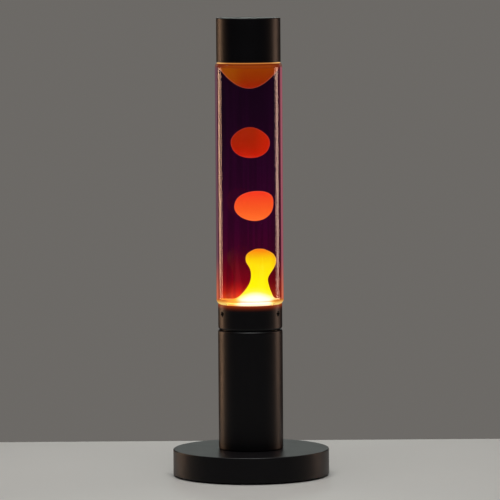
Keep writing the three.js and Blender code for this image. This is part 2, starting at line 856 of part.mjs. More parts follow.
add(cap, "cap_shell", "black_paint", capShell());
add(cap, "cap_locator", "black_plastic", capLocator());

export default lamp;
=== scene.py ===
"""A lava lamp, lit from inside by its own bulb, on a plain pale floor."""

import math

import bmesh
import bpy
from mathutils import Matrix, Vector
from mathutils.geometry import interpolate_bezier

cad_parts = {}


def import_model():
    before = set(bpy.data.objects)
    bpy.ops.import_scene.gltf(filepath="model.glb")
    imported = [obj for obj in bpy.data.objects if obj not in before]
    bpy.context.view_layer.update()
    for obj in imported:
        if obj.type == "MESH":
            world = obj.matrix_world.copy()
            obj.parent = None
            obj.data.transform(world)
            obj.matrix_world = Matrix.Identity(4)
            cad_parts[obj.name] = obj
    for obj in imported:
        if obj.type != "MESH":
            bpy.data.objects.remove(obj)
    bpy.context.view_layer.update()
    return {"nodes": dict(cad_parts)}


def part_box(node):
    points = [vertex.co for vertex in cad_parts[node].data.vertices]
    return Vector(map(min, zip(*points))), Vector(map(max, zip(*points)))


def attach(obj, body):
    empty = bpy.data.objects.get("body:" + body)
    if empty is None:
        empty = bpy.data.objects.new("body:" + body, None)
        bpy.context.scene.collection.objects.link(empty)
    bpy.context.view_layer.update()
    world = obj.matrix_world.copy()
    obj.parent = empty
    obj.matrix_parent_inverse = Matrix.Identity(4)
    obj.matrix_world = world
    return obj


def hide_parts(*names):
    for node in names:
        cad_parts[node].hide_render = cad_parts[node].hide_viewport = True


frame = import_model()
nodes = frame["nodes"]

MM = 0.001
ROUND_WIDE = 192  # segments round the widest pieces
ROUND = 128  # round a large piece
ROUND_MIDDLE = 96
ROUND_SMALL = 48
FULL_TURN = 2 * math.pi


def low(node):
    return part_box(node)[0]


def high(node):
    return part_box(node)[1]


def middle_of(node):
    return (low(node) + high(node)) / 2


# ---- Sizes that several pieces share ----

FOOT_R = high("foot_disc").x
FOOT_TOP = high("foot_disc").z
COLUMN_R = high("column").x
COLLAR_R = high("collar").x
BOTTLE_R = high("glass_bottle").x
CAP_R = high("cap_shell").x
RIM_Z = high("collar").z
CAP_BOTTOM = low("cap_shell").z
CAP_GAP = 0.3 * MM  # between the cap and the glass's shoulder
SHOULDER_Z = CAP_BOTTOM - CAP_GAP
GLASS_WALL = 1.5 * MM
FILL_GAP = 0.05 * MM  # between the glass and what fills it
LIQUID_R = BOTTLE_R - GLASS_WALL - FILL_GAP
POOL_TOP = RIM_Z + 3.0 * MM  # where the molten pool meets the liquid
LIQUID_LOW = POOL_TOP - 0.5 * MM  # just inside the wax, so that no gap shows between them


# ---- Shader maths ----


class Wire:
    """A value in a material's node tree. Python's operators add its Math nodes."""

    def __init__(self, shop, socket):
        self.shop = shop
        self.socket = socket

    def maths(self, operation, *others):
        return self.shop.node("Math", {"operation": operation}, [self, *others])

    def __add__(self, other):
        return self.maths("ADD", other)

    def __radd__(self, other):
        return self.maths("ADD", other)

    def __sub__(self, other):
        return self.maths("SUBTRACT", other)

    def __rsub__(self, other):
        return self.shop.node("Math", {"operation": "SUBTRACT"}, [other, self])

    def __mul__(self, other):
        return self.maths("MULTIPLY", other)

    def __rmul__(self, other):
        return self.maths("MULTIPLY", other)

    def __truediv__(self, other):
        return self.maths("DIVIDE", other)

    def __pow__(self, power):
        return self.maths("POWER", power)

    def __abs__(self):
        return self.maths("ABSOLUTE")

    def clamped(self):
        return self.shop.node("Clamp", {}, [self, 0.0, 1.0])


class Shop:
    """Makes one material's nodes."""

    def __init__(self, name):
        self.material = bpy.data.materials.new(name)
        self.material.use_nodes = True
        self.tree = self.material.node_tree
        self.tree.nodes.clear()

    def node(self, kind, settings, inputs, output=0):
        """Adds a node. inputs is a list in socket order, or a dict by socket name; None leaves one alone."""
        made = self.tree.nodes.new("ShaderNode" + kind)
        for key, value in settings.items():
            setattr(made, key, value)
        pairs = inputs.items() if isinstance(inputs, dict) else enumerate(inputs)
        for key, value in pairs:
            if isinstance(value, Wire):
                self.tree.links.new(value.socket, made.inputs[key])
            elif value is not None:
                made.inputs[key].default_value = value
        return Wire(self, made.outputs[output]) if made.outputs else None

    def place(self):
        return self.node("TexCoord", {}, {}, "Object")

    def axis(self, name):
        return self.node("SeparateXYZ", {}, [self.place()], name)

    def facing(self):
        """0 where the surface faces the eye, 1 at its outline."""
        return self.node("LayerWeight", {}, [0.5], "Facing")

    def backfacing(self):
        return self.node("NewGeometry", {}, {}, "Backfacing")

    def noise(self, size, detail=2.0, stretch=(1, 1, 1)):
        """Soft noise from 0 to 1, whose features are about that size in metres."""
        mapped = self.node("Mapping", {}, {"Vector": self.place(), "Scale": stretch})
        inputs = {"Vector": mapped, "Scale": 1 / size, "Detail": detail}
        return self.node("TexNoise", {}, inputs, "Fac")

    def between(self, value, start, end):
        """0 at start and below, 1 at end and above, smooth between."""
        settings = {"interpolation_type": "SMOOTHSTEP", "clamp": True}
        return self.node("MapRange", settings, [value, start, end, 0.0, 1.0])

    def ramp(self, value, stops):
        """A colour that changes with value. Each stop is (value, colour); the values rise."""
        first, last = stops[0][0], stops[-1][0]
        made = self.tree.nodes.new("ShaderNodeValToRGB")
        elements = made.color_ramp.elements
        while len(elements) < len(stops):
            elements.new(1.0)
        for element, (at, colour) in zip(elements, stops):
            element.position = (at - first) / (last - first)
            element.color = (*colour, 1)
        share = (value - first) / (last - first)
        self.tree.links.new(share.socket, made.inputs[0])
        return Wire(self, made.outputs[0])

    def blend(self, share, a, b):
        """Colour a turning into colour b as share goes from 0 to 1."""
        made = self.tree.nodes.new("ShaderNodeMix")
        made.data_type = "RGBA"
        for key, value in ((0, share), (6, a), (7, b)):
            if isinstance(value, Wire):
                self.tree.links.new(value.socket, made.inputs[key])
            else:
                made.inputs[key].default_value = (*value, 1) if key else value
        return Wire(self, made.outputs[2])

    def bump(self, heights, strength, depth):
        return self.node("Bump", {}, {"Strength": strength, "Distance": depth, "Height": heights})

    def principled(self, **values):
        inputs = {key.replace("_", " ").title(): value for key, value in values.items()}
        renamed = {"Ior": "IOR", "Specular Ior Level": "Specular IOR Level"}
        inputs = {renamed.get(key, key): value for key, value in inputs.items()}
        for key in ("Base Color", "Emission Color", "Specular Tint"):
            if key in inputs and not isinstance(inputs[key], Wire):
                inputs[key] = (*inputs[key], 1)
        return self.node("BsdfPrincipled", {}, inputs)

    def finish(self, shader):
        self.node("OutputMaterial", {}, {"Surface": shader})
        return self.material


def linear(red, green, blue):
    """A colour given as it looks on a screen, from 0 to 255, as the light that makes it."""

    def one(value):
        share = value / 255
        return share / 12.92 if share <= 0.04045 else ((share + 0.055) / 1.055) ** 2.4

    return (one(red), one(green), one(blue))


def scaled(colour, by):
    return tuple(value * by for value in colour)


# ---- Materials ----


def satin_black(name, glow=False):
    """Black powder coat with a fine skin. With glow, an orange glow of wax light is painted over its upper
    rim.
    """
    shop = Shop(name)
    skin = shop.noise(0.7 * MM, detail=3.0)
    patches = shop.noise(18 * MM, detail=3.0)
    colour = shop.blend(patches, linear(5, 4, 7), linear(11, 9, 13))
    values = {
        "base_color": colour,
        "roughness": 0.34 + patches * 0.06 + skin * 0.03,
        "specular_ior_level": 0.18,
        "normal": shop.bump(skin, strength=0.05, depth=0.02 * MM),
    }
    if glow:
        # Painted light: an orange glow painted on the top 6 mm of the rim, strongest at its edge, stands for
        # wax light; the rim is no lamp.
        depth = (RIM_Z - shop.axis("Z")) / (6 * MM)
        rise = (1 - depth).clamped()
        values["emission_color"] = shop.blend(rise**2.6, (0, 0, 0), linear(146, 50, 5))
        values["emission_strength"] = 1.0
    return shop.finish(shop.principled(**values))


def bare_metal(name, colour, roughness, brushed=0.0):
    shop = Shop(name)
    cloud = shop.noise(4 * MM, detail=4.0)
    grain = shop.noise(0.25 * MM, stretch=(1, 1, 12))
    tint = shop.blend(cloud, scaled(colour, 0.82), colour)
    normal = shop.bump(grain, strength=0.1 + brushed, depth=0.01 * MM)
    rough = roughness + cloud * 0.08 + grain * 0.06
    return shop.finish(shop.principled(base_color=tint, metallic=1.0, roughness=rough, normal=normal))


def moulded(name, colour, roughness, pebble=0.5 * MM, strength=0.12):
    """Plastic, rubber or ceramic with a fine moulded skin."""
    shop = Shop(name)
    skin = shop.noise(pebble, detail=3.0)
    cloud = shop.noise(9 * MM)
    tint = shop.blend(cloud, scaled(colour, 0.85), colour)
    normal = shop.bump(skin, strength, depth=0.05 * MM)
    return shop.finish(
        shop.principled(base_color=tint, roughness=roughness + skin * 0.1, normal=normal)
    )


# How the purple liquid dims what is behind one of its surfaces, per colour.
LIQUID_TINT = (0.13, 0.055, 0.13)


def through_liquid(red, green, blue, by=1.0):
    """The glow that looks this colour on a screen when it is seen through the liquid's surface."""
    seen = linear(red, green, blue)
    return tuple(by * s / math.sqrt(t) for s, t in zip(seen, LIQUID_TINT))


# How bright the wax's painted glow is.
WAX_POWER = 6.0


def dimmed(colour):
    return scaled(colour, 1 / WAX_POWER)


def wax(name, glow, base, rim):
    """Molten wax whose light is painted: glow takes the shop and gives the painted glow's colour, which turns
    to a painted rim light of colour rim at its outline.
    """
    shop = Shop(name)
    cloud = shop.noise(5 * MM)
    # Painted rim light: a lighter colour painted at the outline.
    outline = shop.between(shop.facing(), 0.68, 0.97)
    light = shop.blend(cloud * 0.12, glow(shop), (0, 0, 0))
    light = shop.blend(outline * 0.75, light, dimmed(rim))
    return shop.finish(
        shop.principled(
            base_color=shop.blend(cloud, scaled(base, 0.8), base),
            roughness=0.42 + cloud * 0.06,
            specular_ior_level=0.12,
            emission_color=light,
            emission_strength=WAX_POWER,
        )
    )


MOUND_X = 4 * MM  # where the mound stands across the pool
GLOW_CURVE = 36  # per metre: how fast the painted glow dims and reddens away from the mound's axis


def mound_glow(shop):
    """Painted glow of the bulb's light: white over the bulb, then yellow, then orange at the knob's top, and
    golden at the pool's sides.
    """
    height = shop.axis("Z")
    across = abs(shop.axis("X") - MOUND_X)
    wide = across**2 * GLOW_CURVE * shop.between(height, RIM_Z + 28 * MM, RIM_Z + 12 * MM)
    pool = shop.ramp(
        height,
        [
            (RIM_Z - 1 * MM, dimmed(linear(255, 240, 190))),
            (RIM_Z + 1.2 * MM, dimmed(scaled(linear(255, 250, 232), 1.2))),
            (POOL_TOP, dimmed(scaled(linear(255, 253, 245), 1.3))),
        ],
    )
    rise = shop.ramp(
        height + wide,
        [
            (POOL_TOP, dimmed(through_liquid(255, 254, 242, 1.3))),
            (RIM_Z + 7.2 * MM, dimmed(through_liquid(255, 252, 232, 1.2))),
            (RIM_Z + 9.2 * MM, dimmed(through_liquid(255, 250, 180, 1.15))),
            (RIM_Z + 11.4 * MM, dimmed(through_liquid(254, 249, 60, 1.05))),
            (RIM_Z + 15 * MM, dimmed(through_liquid(255, 253, 4, 1.0))),
            (RIM_Z + 23 * MM, dimmed(through_liquid(254, 245, 0))),
            (RIM_Z + 34 * MM, dimmed(through_liquid(255, 230, 0))),
            (RIM_Z + 38.5 * MM, dimmed(through_liquid(255, 216, 4))),
            (RIM_Z + 42 * MM, dimmed(through_liquid(255, 186, 10))),
            (RIM_Z + 45.3 * MM, dimmed(through_liquid(255, 150, 12))),
            (RIM_Z + 48 * MM, dimmed(through_liquid(253, 128, 26))),
        ],
    )
    middle = shop.blend(shop.between(height, LIQUID_LOW - 0.1 * MM, LIQUID_LOW + 0.1 * MM), pool, rise)
    # Painted light: a golden to orange glow painted at the pool's sides.
    sides = shop.ramp(
        height,
        [
            (RIM_Z - 1 * MM, dimmed(linear(230, 150, 60))),
            (RIM_Z + 1.2 * MM, dimmed(linear(255, 222, 120))),
            (LIQUID_LOW - 0.1 * MM, dimmed(linear(252, 200, 90))),
            (LIQUID_LOW + 0.1 * MM, dimmed(through_liquid(252, 190, 60))),
            (POOL_TOP + 2 * MM, dimmed(through_liquid(220, 90, 14))),
        ],
    )
    return shop.blend(shop.between(across, 10 * MM, 19 * MM), middle, sides)


def lower_drop_glow(shop):
    # Painted glow: yellower and brighter at the bottom, where the bulb's light enters, redder at the top.
    bottom, top = low("wax_drop_lower").z, high("wax_drop_lower").z
    stops = [
        (bottom, dimmed(through_liquid(255, 112, 40))),
        (bottom + 0.45 * (top - bottom), dimmed(through_liquid(255, 92, 34))),
        (top, dimmed(through_liquid(252, 58, 32))),
    ]
    return shop.ramp(shop.axis("Z"), stops)


def upper_drop_glow(shop):
    # Painted glow: brighter red at the bottom, with painted extra light on its +X side.
    bottom, top = low("wax_drop_upper").z, high("wax_drop_upper").z
    stops = [
        (bottom, dimmed(through_liquid(196, 22, 0))),
        (bottom + 0.4 * (top - bottom), dimmed(through_liquid(170, 32, 2))),
        (top, dimmed(through_liquid(158, 38, 6))),
    ]
    even = shop.ramp(shop.axis("Z"), stops)
    painted_lit_side = shop.between(shop.axis("X"), 2 * MM, 13 * MM)
    return shop.blend(painted_lit_side * 0.7, even, dimmed(through_liquid(204, 34, 4)))


def dome_glow(shop):
    # Painted glow, with painted extra light on its -X side.
    bottom, top = low("wax_dome").z, high("wax_dome").z
    stops = [
        (bottom, dimmed(through_liquid(150, 26, 0))),
        (bottom + 0.45 * (top - bottom), dimmed(through_liquid(142, 46, 0))),
        (top, dimmed(through_liquid(146, 60, 2))),
    ]
    even = shop.ramp(shop.axis("Z"), stops)
    painted_lit_side = shop.between(shop.axis("X"), -2 * MM, -16 * MM)
    return shop.blend(painted_lit_side * 0.6, even, dimmed(through_liquid(158, 82, 6)))


LIQUID_POWER = 2.5
PLUME_X = -3.8 * MM  # where the painted red glow rises beside the mound


def purple_liquid():
    """Clear purple liquid with painted light: a red glow near the pool, most of all away from the mound,
    painted shade at its outline and more glow on its far surface.
    """
    shop = Shop("purple_liquid")
    height = shop.axis("Z")
    # Painted glow ramps: red light painted low down, fading to dark purple towards the shoulder.
    even = shop.ramp(
        height,
        [
            (POOL_TOP, linear(196, 78, 10)),
            (POOL_TOP + 6 * MM, linear(158, 40, 10)),
            (POOL_TOP + 14 * MM, linear(120, 10, 10)),
            (POOL_TOP + 26 * MM, linear(86, 0, 18)),
            (POOL_TOP + 42 * MM, linear(62, 0, 30)),
            (POOL_TOP + 62 * MM, linear(52, 0, 33)),
            (POOL_TOP + 110 * MM, linear(36, 1, 28)),
            (POOL_TOP + 165 * MM, linear(22, 1, 19)),
            (SHOULDER_Z, linear(18, 1, 15)),
        ],
    )
    painted_plume_glow = shop.ramp(
        height,
        [
            (POOL_TOP, linear(250, 96, 20)),
            (POOL_TOP + 3 * MM, linear(238, 66, 18)),
            (POOL_TOP + 6 * MM, linear(214, 40, 10)),
            (POOL_TOP + 10 * MM, linear(176, 16, 14)),
            (POOL_TOP + 16 * MM, linear(134, 2, 20)),
            (POOL_TOP + 30 * MM, linear(106, 0, 20)),
            (POOL_TOP + 44 * MM, linear(72, 0, 32)),
            (POOL_TOP + 62 * MM, linear(54, 0, 34)),
        ],
    )
    off = abs(shop.axis("X") - PLUME_X)
    plume = 1 - shop.between(off, 1.5 * MM, 8 * MM)
    low_down = shop.between(height, POOL_TOP + 50 * MM, POOL_TOP + 20 * MM)
    glow = shop.blend(plume * low_down, even, painted_plume_glow)
    streaks = shop.between(shop.noise(1.5 * MM, stretch=(1, 1, 0.012)), 0.42, 0.72)
    cloud = shop.noise(14 * MM, stretch=(1, 1, 0.5))
    # Painted shade towards the outline, and painted extra glow where the far surface is seen.
    edge = shop.between(shop.facing(), 0.2, 0.62)
    far_side = shop.backfacing()
    grain = 0.6 + streaks * 0.6 + cloud * 0.3
    shade = (1 - edge * 0.82) * grain * (0.12 + far_side * 2.1)
    light = shop.blend((shade / LIQUID_POWER).clamped(), (0, 0, 0), glow)
    return shop.finish(
        shop.principled(
            base_color=LIQUID_TINT,
            roughness=0.0,
            ior=1.36,
            transmission_weight=1.0,
            specular_ior_level=0.04,
            specular_tint=(0.15, 0.0, 0.05),
            emission_color=light,
            emission_strength=LIQUID_POWER,
        )
    )


def bottle_glass():
    """Clear glass with painted light: painted maroon shade inside its edges, a painted pink line at its
    outline, and painted wax light at its heel and under the shoulder.
    """
    shop = Shop("bottle_glass")
    outside = 1 - shop.backfacing()
    facing = shop.facing()
    height = shop.axis("Z")
    across = abs(shop.axis("X"))
    # Painted light: warmer towards the bottom, where the wax's light falls, and the pink outline brighter on
    # the right.
    painted_warmth_low_down = shop.between(height, RIM_Z + 45 * MM, RIM_Z + 2 * MM)
    painted_brighter_right = shop.between(shop.axis("X"), -10 * MM, 10 * MM)
    painted_edge_shade = shop.blend(painted_warmth_low_down, linear(66, 18, 34), linear(130, 34, 20))
    edge = shop.blend(painted_brighter_right, linear(118, 74, 92), linear(184, 96, 112))
    edge = shop.blend(painted_warmth_low_down, edge, linear(230, 112, 74))
    rim = shop.between(facing, 0.62, 0.7)
    outer = shop.between(across, 17 * MM, 26 * MM)
    neck = shop.between(height, CAP_BOTTOM + 0.2 * MM, CAP_BOTTOM + 0.8 * MM)
    ridge = shop.between(height, SHOULDER_Z - 4.4 * MM, SHOULDER_Z - 3.2 * MM) - neck
    under_lip = shop.between(height, SHOULDER_Z - 2.2 * MM, SHOULDER_Z - 1.4 * MM)
    lip = shop.between(height, SHOULDER_Z - 0.8 * MM, SHOULDER_Z - 0.5 * MM)
    socket = shop.between(height, RIM_Z - 0.3 * MM, RIM_Z - 0.9 * MM)
    heel = shop.between(height, RIM_Z + 5.4 * MM, RIM_Z + 3.8 * MM) - socket
    # Painted glow of the pool's light in the heel.
    heel_glow = shop.ramp(
        height,
        [
            (RIM_Z - 0.2 * MM, linear(255, 226, 126)),
            (RIM_Z + 1.4 * MM, linear(255, 216, 116)),
            (RIM_Z + 2.6 * MM, linear(228, 162, 74)),
            (RIM_Z + 4.2 * MM, linear(196, 102, 36)),
            (RIM_Z + 5.4 * MM, linear(170, 72, 28)),
        ],
    )
    # Painted light: the edge line, the heel glow and golden bands under the shoulder.
    glow = shop.blend(rim, painted_edge_shade, edge)
    glow = shop.blend(heel, glow, heel_glow)
    glow = shop.blend(ridge, glow, shop.blend(outer, linear(146, 60, 10), linear(124, 46, 22)))
    glow = shop.blend(under_lip, glow, linear(120, 42, 4))
    glow = shop.blend(lip, glow, shop.blend(outer, linear(205, 128, 60), linear(255, 190, 110)))
    # The painted light is emission on a dark film laid over clear glass.
    painted_light_film = shop.principled(
        base_color=(0.008, 0.004, 0.004),
        roughness=0.3,
        specular_ior_level=0.0,
        emission_color=glow,
        emission_strength=0.95,
    )
    gloss = shop.node("BsdfGlossy", {}, {"Color": (0.94, 0.92, 0.98, 1), "Roughness": 0.04})
    clear = shop.node("BsdfTransparent", {}, {"Color": (1, 1, 1, 1)})
    plain = (1 - ridge) * (1 - heel)
    body = shop.between(facing, 0.5, 0.58) * 0.85 - shop.between(facing, 0.86, 1.0) * 0.4
    top_cover = ridge * (0.92 - shop.between(across, 25 * MM, 27 * MM) * (1 - lip) * 0.35)
    heel_cover = heel * shop.between(across, 16 * MM, 23 * MM) * 0.92
    cover = (body * plain + top_cover + heel_cover) * outside
    coloured = shop.node("MixShader", {}, [cover, clear, painted_light_film])
    mirror = shop.node("Fresnel", {}, {"IOR": 1.5})
    shine = mirror * (0.68 - painted_warmth_low_down * 0.3) * outside * plain
    return shop.finish(shop.node("MixShader", {}, [shine, coloured, gloss]))


def bulb_face():
    """Silvered glass with a frosted face, which lets the lamp's light out."""
    shop = Shop("bulb_face")
    front = shop.between(shop.axis("Z"), high("bulb_glass").z - 9 * MM, high("bulb_glass").z - 6 * MM)
    frost = shop.noise(0.4 * MM)
    colour = shop.blend(front, (0.72, 0.72, 0.74), (0.85, 0.83, 0.78))
    light = shop.blend(front, (0, 0, 0), (1.0, 0.72, 0.4))
    return shop.finish(
        shop.principled(
            base_color=colour,
            metallic=1 - front,
            roughness=0.12 + front * 0.4 + frost * 0.05,
            emission_color=light,
            emission_strength=4.0,
        )
    )


BLACK = satin_black("satin_black")
# The collar's coat carries a painted orange glow on its upper rim.
BLACK_PAINTED_RIM_GLOW = satin_black("satin_black_painted_rim_glow", glow=True)
STEEL = bare_metal("plain_steel", (0.52, 0.52, 0.51), 0.3)
BRASS = bare_metal("plain_brass", (0.72, 0.5, 0.22), 0.25)
BLACK_STEEL = bare_metal("black_steel", (0.03, 0.03, 0.032), 0.42)
RUBBER = moulded("rubber", (0.018, 0.018, 0.019), 0.75)
SILICONE = moulded("silicone", (0.6, 0.58, 0.54), 0.5)
CERAMIC = moulded("ceramic", (0.78, 0.75, 0.68), 0.45, pebble=0.3 * MM)
BLACK_PLASTIC = moulded("black_plastic", (0.014, 0.014, 0.015), 0.42)
WHITE_PLASTIC = moulded("white_plastic", (0.72, 0.71, 0.67), 0.4)
LIQUID = purple_liquid()
GLASS = bottle_glass()
BULB = bulb_face()
# Each wax glows with painted light, and its last colour is its painted rim light.
WAX_MOUND = wax("wax_mound", mound_glow, (0.5, 0.2, 0.02), through_liquid(255, 160, 66))
WAX_LOWER = wax("wax_lower", lower_drop_glow, (0.4, 0.06, 0.01), through_liquid(250, 96, 60))
WAX_UPPER = wax("wax_upper", upper_drop_glow, (0.25, 0.03, 0.01), through_liquid(205, 62, 44))
WAX_DOME = wax("wax_dome", dome_glow, (0.2, 0.04, 0.01), through_liquid(186, 92, 66))


# ---- Mesh work ----


WELD = 1e-6  # vertices nearer than this are one
ON_RING = 1e-5  # how near a vertex lies to the ring that it belongs to
ROUNDING_STEPS = 5


def spun(corners, segments=ROUND, closed=True):
    """A mesh spun about Z from the corners of its section: (radius, height) or (radius, height, rounding)."""
    mesh = bmesh.new()
    section = [mesh.verts.new((corner[0], 0, corner[1])) for corner in corners]
    pairs = list(zip(section, section[1:]))
    if closed:
        pairs.append((section[-1], section[0]))
    edges = [mesh.edges.new(pair) for pair in pairs]
    bmesh.ops.spin(
        mesh,
        geom=section + edges,
        cent=(0, 0, 0),
        axis=(0, 0, 1),
        angle=FULL_TURN,
        steps=segments,
        use_merge=True,
    )
    bmesh.ops.remove_doubles(mesh, verts=mesh.verts, dist=WELD)
    bmesh.ops.recalc_face_normals(mesh, faces=mesh.faces)
    for corner in corners:
        if len(corner) == 3:
            round_ring(mesh, *corner)
    return mesh


def round_ring(mesh, radius, height, rounding):
    """Rounds the ring of edges at that radius and height."""

    def on_ring(vert):
        return abs(vert.co.z - height) < ON_RING and abs(vert.co.xy.length - radius) < ON_RING

    ring = [e for e in mesh.edges if on_ring(e.verts[0]) and on_ring(e.verts[1])]
    bmesh.ops.bevel(
        mesh,
        geom=ring,
        offset=rounding,
        offset_type="OFFSET",
        segments=ROUNDING_STEPS,
        profile=0.5,
        affect="EDGES",
        material=-1,
    )


def moved(mesh, place):
    bmesh.ops.translate(mesh, vec=place, verts=mesh.verts)
    return mesh


def turned(mesh, angle, axis):
    bmesh.ops.rotate(mesh, cent=(0, 0, 0), matrix=Matrix.Rotation(angle, 3, axis), verts=mesh.verts)
    return mesh


def rod(radius, bottom, top, segments=ROUND_SMALL):
    return spun([(0, bottom), (radius, bottom), (radius, top), (0, top)], segments, closed=False)


def bar(size):
    """A block of that size about the origin."""
    mesh = bmesh.new()
    bmesh.ops.create_cube(mesh, size=1.0)
    bmesh.ops.scale(mesh, vec=size, verts=mesh.verts)
    return mesh


def as_object(name, mesh):
    data = bpy.data.meshes.new(name)
    mesh.to_mesh(data)
    mesh.free()
    made = bpy.data.objects.new(name, data)
    bpy.context.scene.collection.objects.link(made)
    return made


def cut(made, cutters):
    """Cuts shapes out of a piece, and throws the shapes away."""
    tools = [as_object("tool", mesh) for mesh in cutters]
    for tool in tools:
        modifier = made.modifiers.new("Cut", "BOOLEAN")
        modifier.object = tool
        modifier.operation = "DIFFERENCE"
        modifier.solver = "EXACT"
    shown = made.evaluated_get(bpy.context.evaluated_depsgraph_get())
    result = bpy.data.meshes.new_from_object(shown)
    made.modifiers.clear()
    made.data = result
    result.name = made.name
    for tool in tools:
        bpy.data.objects.remove(tool)


def piece(name, mesh, material, body, stands_for, cutters=(), sharp=32, weighted=True):
    """Makes a mesh a finished piece of the lamp."""
    made = as_object(name, mesh)
    if cutters:
        cut(made, cutters)
    for polygon in made.data.polygons:
        polygon.use_smooth = True
    made.data.set_sharp_from_angle(angle=math.radians(sharp))
    made.data.materials.clear()
    made.data.materials.append(material)
    if weighted:
        modifier = made.modifiers.new("Even shading", "WEIGHTED_NORMAL")
        modifier.keep_sharp = True
        modifier.weight = 60
    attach(made, body)
    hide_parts(*stands_for)
    return made


SMOOTH_LEVELS = 2


def smooth(made):
    modifier = made.modifiers.new("Smooth", "SUBSURF")
    modifier.levels = SMOOTH_LEVELS
    modifier.render_levels = SMOOTH_LEVELS


# ---- Foot ----

DISC_LOW = low("foot_disc").z
DISC_WALL = 2.7 * MM
DISC_TOP_THICKNESS = 2.5 * MM
INLET_Z = middle_of("cord_grommet").z
GRUB_R = 1.75 * MM
SCREW_HEAD = 1.3 * MM  # how tall a plate screw's head is


def towards_back(mesh):
    """Turns a shape made along Z so that it points out of the back, at the inlet's height."""
    return moved(turned(mesh, -math.pi / 2, "X"), (0, 0, INLET_Z))


def foot():
    tube_hole = 5.3 * MM
    inside = FOOT_R - DISC_WALL
    under = FOOT_TOP - DISC_TOP_THICKNESS
    section = [
        (FOOT_R, DISC_LOW, 0.5 * MM),
        (FOOT_R, FOOT_TOP, 0.9 * MM),
        (tube_hole, FOOT_TOP),
        (tube_hole, under),
        (inside, under),
        (inside, DISC_LOW, 0.3 * MM),
    ]
    beyond = 80 * MM
    hole = towards_back(rod(4.6 * MM, 50 * MM, beyond))
    recess = towards_back(rod(6.2 * MM, FOOT_R - 1.4 * MM, beyond))
    disc = spun(section, ROUND_WIDE)
    piece("foot_turned", disc, BLACK, "stand", ["foot_disc"], [hole, recess])


def grommet():
    bore = 3.2 * MM
    neck_r = 4.3 * MM
    inner_flange_r = 5.0 * MM
    outside = FOOT_R - 0.2 * MM
    seat = FOOT_R - 1.2 * MM
    neck = FOOT_R - DISC_WALL - 0.4 * MM
    inner_end = neck - 1.2 * MM
    section = [
        (bore, inner_end, 0.3 * MM),
        (inner_flange_r, inner_end, 0.3 * MM),
        (inner_flange_r, neck),
        (neck_r, neck),
        (neck_r, seat),
        (5.8 * MM, seat, 0.2 * MM),
        (5.3 * MM, outside, 0.35 * MM),
        (bore, outside, 0.35 * MM),
    ]
    mesh = towards_back(spun(section, ROUND_SMALL))
    piece("grommet_moulded", mesh, RUBBER, "stand", ["cord_grommet"])


def rubber_feet():
    for i in range(1, 5):
        name = f"rubber_foot_{i}"
        middle, top = middle_of(name), high(name).z
        radius = (high(name).x - low(name).x) / 2
        section = [(0, 0), (radius, 0, 0.5 * MM), (radius, top), (0, top)]
        pad = spun(section, ROUND_SMALL, closed=False)
        moved(pad, (middle.x, middle.y, 0))
        piece(f"foot_pad_{i}", pad, RUBBER, "stand", [name])


def bottom_plate():
    bottom, top = low("bottom_plate").z, high("bottom_plate").z
    radius = high("bottom_plate").x
    dish = bottom + 0.5 * MM
    fold = 0.4 * MM
    section = [
        (0, dish),
        (radius - 14 * MM, dish, fold),
        (radius - 13 * MM, bottom, fold),
        (radius, bottom, 0.2 * MM),
        (radius, top),
        (0, top),
    ]
    plate = spun(section, ROUND_WIDE, closed=False)
    piece("plate_pressed", plate, BLACK_STEEL, "stand", ["bottom_plate"])


def cross_screw(name, node, material, head_height):
    """A pan-head screw with a cross recess, whose head points down."""
    bottom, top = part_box(node)
    middle = middle_of(node)
    head = (top.x - bottom.x) / 2
    seat = bottom.z + head_height
    shank = head * 0.45
    section = [
        (0, bottom.z),
        (head, bottom.z, 0.45 * MM),
        (head, seat),
        (shank, seat),
        (shank, top.z - 1 * MM),
        (0, top.z),
    ]
    mesh = spun(section, ROUND_SMALL, closed=False)
    cross_arm = (head * 1.05, 0.55 * MM, 1.2 * MM)
    cross_angle = 0.4
    cutters = [
        moved(turned(bar(cross_arm), angle, "Z"), (0, 0, bottom.z))
        for angle in (cross_angle, cross_angle + math.pi / 2)
    ]
    for shape in (mesh, *cutters):
        moved(shape, (middle.x, middle.y, 0))
    piece(name, mesh, material, "stand", [node], cutters)


foot()
grommet()
rubber_feet()
bottom_plate()
for i in range(1, 5):
    cross_screw(f"plate_screw_turned_{i}", f"plate_screw_{i}", BLACK_STEEL, SCREW_HEAD)


# ---- Column and collar ----

SEAM_ROUND = 2.1 * MM


def column():
    bottom, top = low("column").z, high("column").z
    bore = 25 * MM
    floor_hole = 18.5 * MM
    floor_top = bottom + 5 * MM
    section = [
        (COLUMN_R, bottom, 1.2 * MM),
        (COLUMN_R, top, SEAM_ROUND),
        (bore, top),
        (bore, floor_top),
        (floor_hole, floor_top),
        (floor_hole, bottom),
    ]
    piece("column_turned", spun(section), BLACK, "stand", ["column"])


def grub_angles():
    return [math.atan2(*reversed(middle_of(f"grub_screw_{i}").xy)) for i in range(1, 4)]


def out_of_collar(mesh, angle):
    """Turns a shape made along Z so that it points out of the collar, at a set screw's height."""
    outwards = turned(turned(mesh, math.pi / 2, "Y"), angle, "Z")
    return moved(outwards, (0, 0, middle_of("grub_screw_1").z))


